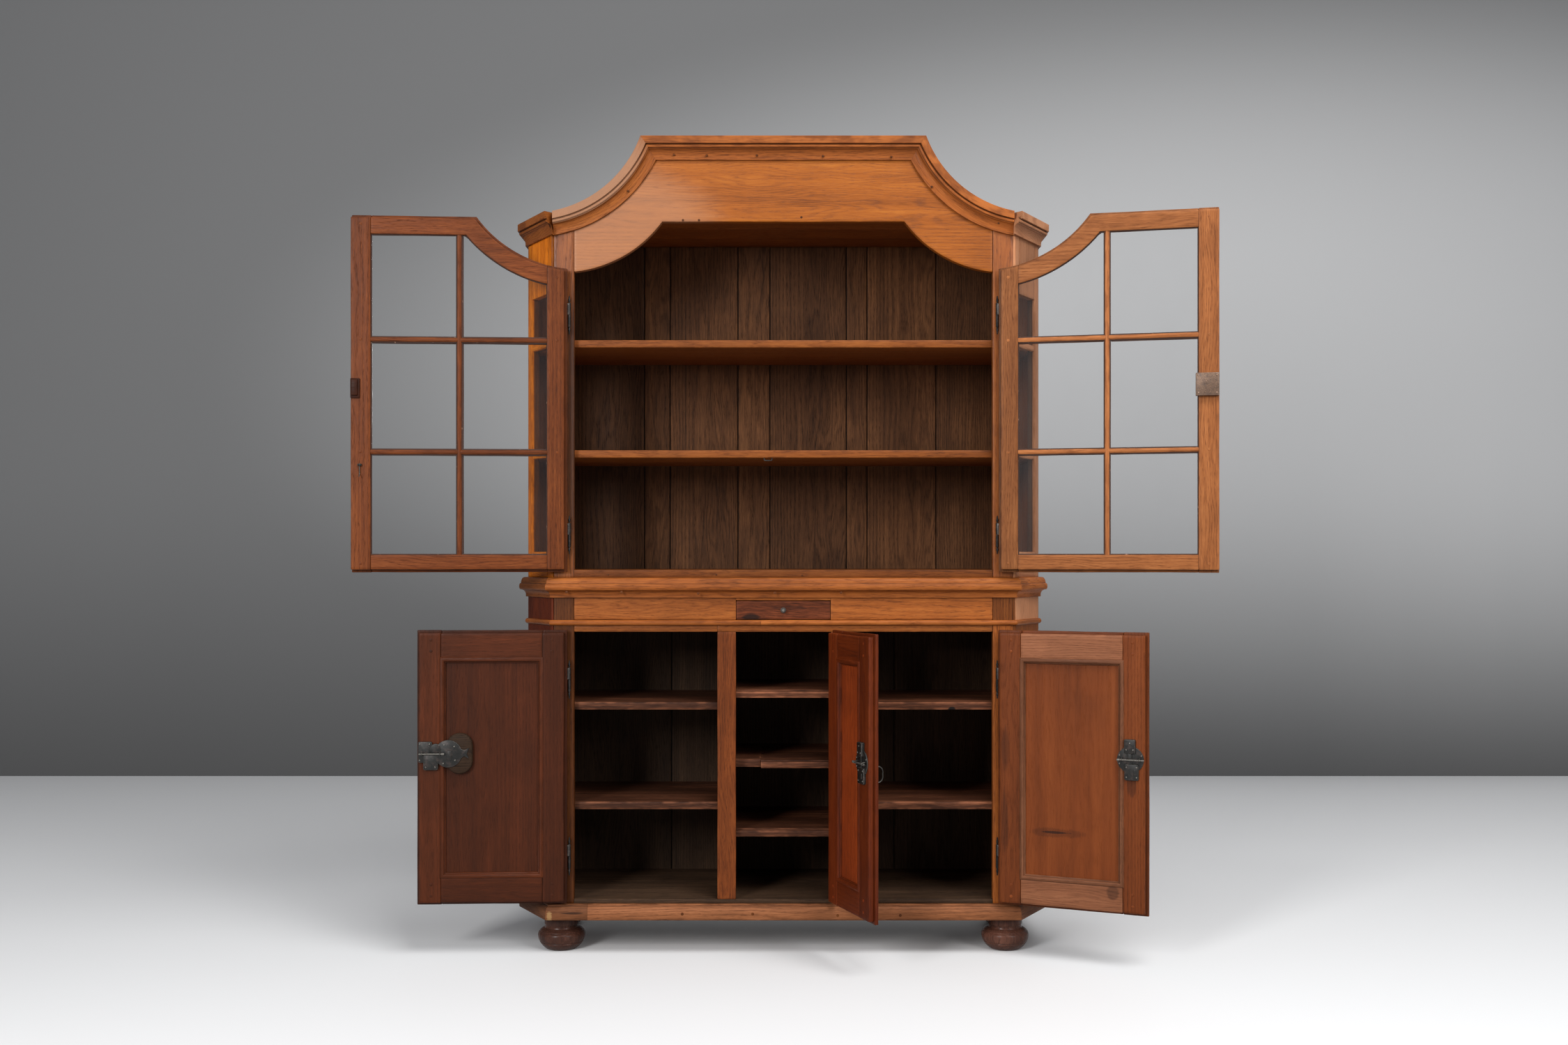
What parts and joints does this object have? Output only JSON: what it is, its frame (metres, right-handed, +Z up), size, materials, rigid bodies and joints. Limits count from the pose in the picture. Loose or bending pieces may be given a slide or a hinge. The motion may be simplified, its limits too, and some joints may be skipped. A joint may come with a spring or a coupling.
{
  "type": "vitrine cabinet",
  "caption": "Two-stage oak display cabinet with canted corners, arched glazed upper doors, panelled lower doors, a small drawer, inner shelves and turned bun feet.",
  "frame": {"origin": "floor level, at the middle of the bounding box of the cabinet with its doors as they stand", "axes": "+Z up, +Y to the back, so the front faces -Y; +X to the right seen from the front"},
  "size_m": [2.1281, 0.6444, 2.0492],
  "materials": {
    "honey_oak": "waxed oak, honey brown",
    "red_oak": "waxed oak, red brown",
    "inner_oak": "dull dark oak",
    "dark_oak": "ebonised and polished",
    "glass": "old window glass",
    "iron": "dark worn iron"
  },
  "bodies": {
    "carcase": {"foot_front_left": "dark_oak", "foot_front_right": "dark_oak", "foot_rear_left": "dark_oak", "foot_rear_right": "dark_oak", "plinth": "honey_oak", "base_floor": "inner_oak", "base_back": "inner_oak", "base_end_left": "honey_oak", "base_end_right": "honey_oak", "base_stile_left": "honey_oak", "base_stile_right": "honey_oak", "partition_left": "honey_oak", "partition_right": "honey_oak", "frieze_rail": "honey_oak", "waist_moulding": "honey_oak", "lower_left_shelf_1": "inner_oak", "lower_left_shelf_2": "inner_oak", "lower_right_shelf_1": "inner_oak", "lower_right_shelf_2": "inner_oak", "middle_shelf_1": "inner_oak", "middle_shelf_2": "inner_oak", "middle_shelf_3": "inner_oak", "upper_floor": "honey_oak", "upper_back": "inner_oak", "ceiling_board": "inner_oak", "upper_shelf_1": "honey_oak", "upper_shelf_2": "honey_oak", "upper_stile_left": "honey_oak", "upper_stile_right": "honey_oak", "upper_end_left": "honey_oak", "upper_end_right": "honey_oak", "cant_glass_left": "glass", "cant_glass_right": "glass", "arch_board": "honey_oak", "cornice_centre": "honey_oak", "cornice_left": "honey_oak", "cornice_right": "honey_oak", "upper_left_hinge_bottom": "iron", "upper_left_hinge_top": "iron", "upper_right_hinge_bottom": "iron", "upper_right_hinge_top": "iron", "lower_left_hinge_bottom": "iron", "lower_left_hinge_top": "iron", "lower_middle_hinge_bottom": "iron", "lower_middle_hinge_top": "iron", "lower_right_hinge_bottom": "iron", "lower_right_hinge_top": "iron"},
    "upper_left_door": {"upper_left_door": "red_oak", "upper_left_glass": "glass"},
    "upper_right_door": {"upper_right_door": "red_oak", "upper_right_glass": "glass"},
    "lower_left_door": {"lower_left_door": "red_oak"},
    "lower_middle_door": {"lower_middle_door": "red_oak"},
    "lower_right_door": {"lower_right_door": "red_oak"},
    "drawer": {"drawer": "red_oak"},
    "upper_right_bolt": {"upper_right_bolt": "iron"},
    "lower_left_bolt": {"lower_left_bolt": "iron"},
    "lower_middle_bolt": {"lower_middle_bolt": "iron"},
    "lower_right_bolt": {"lower_right_bolt": "iron"},
    "upper_left_hook": {"upper_left_hook": "iron"}
  },
  "joints": [
    {"name": "upper_left_door_hinge", "type": "hinge", "parent": "carcase", "child": "upper_left_door", "pos_m": [-0.5362, -0.07785, 1], "axis": [0, 0, -1], "range_deg": [-176.5, 3.5]},
    {"name": "upper_right_door_hinge", "type": "hinge", "parent": "carcase", "child": "upper_right_door", "pos_m": [0.5362, -0.07785, 1], "axis": [0, 0, 1], "range_deg": [-167, 13]},
    {"name": "lower_left_door_hinge", "type": "hinge", "parent": "carcase", "child": "lower_left_door", "pos_m": [-0.5362, -0.07785, 0.4], "axis": [0, 0, -1], "range_deg": [-177.7, 2.3]},
    {"name": "lower_middle_door_hinge", "type": "hinge", "parent": "carcase", "child": "lower_middle_door", "pos_m": [0.1292, -0.07785, 0.4], "axis": [0, 0, 1], "range_deg": [-112, 43]},
    {"name": "lower_right_door_hinge", "type": "hinge", "parent": "carcase", "child": "lower_right_door", "pos_m": [0.5362, -0.07785, 0.4], "axis": [0, 0, 1], "range_deg": [-157.4, 22.6]},
    {"name": "drawer_slide", "type": "slide", "parent": "carcase", "child": "drawer", "axis": [0, -1, 0], "range_m": [0, 0.25]},
    {"name": "upper_right_bolt_slide", "type": "slide", "parent": "upper_right_door", "child": "upper_right_bolt", "axis": [0.9744, -0.225, 0], "range_m": [0, 0.012]},
    {"name": "lower_left_bolt_slide", "type": "slide", "parent": "lower_left_door", "child": "lower_left_bolt", "axis": [-0.9992, -0.0401, 0], "range_m": [0, 0.012]},
    {"name": "lower_middle_bolt_slide", "type": "slide", "parent": "lower_middle_door", "child": "lower_middle_bolt", "axis": [0.3746, -0.9272, 0], "range_m": [0, 0.012]},
    {"name": "lower_right_bolt_slide", "type": "slide", "parent": "lower_right_door", "child": "lower_right_bolt", "axis": [0.9232, -0.3843, 0], "range_m": [0, 0.012]},
    {"name": "upper_left_hook_pivot", "type": "hinge", "parent": "upper_left_door", "child": "upper_left_hook", "pos_m": [-1.0458, -0.13607, 1.2245], "axis": [-0.9981, -0.061, 0], "range_deg": [0, 95]}
  ]
}
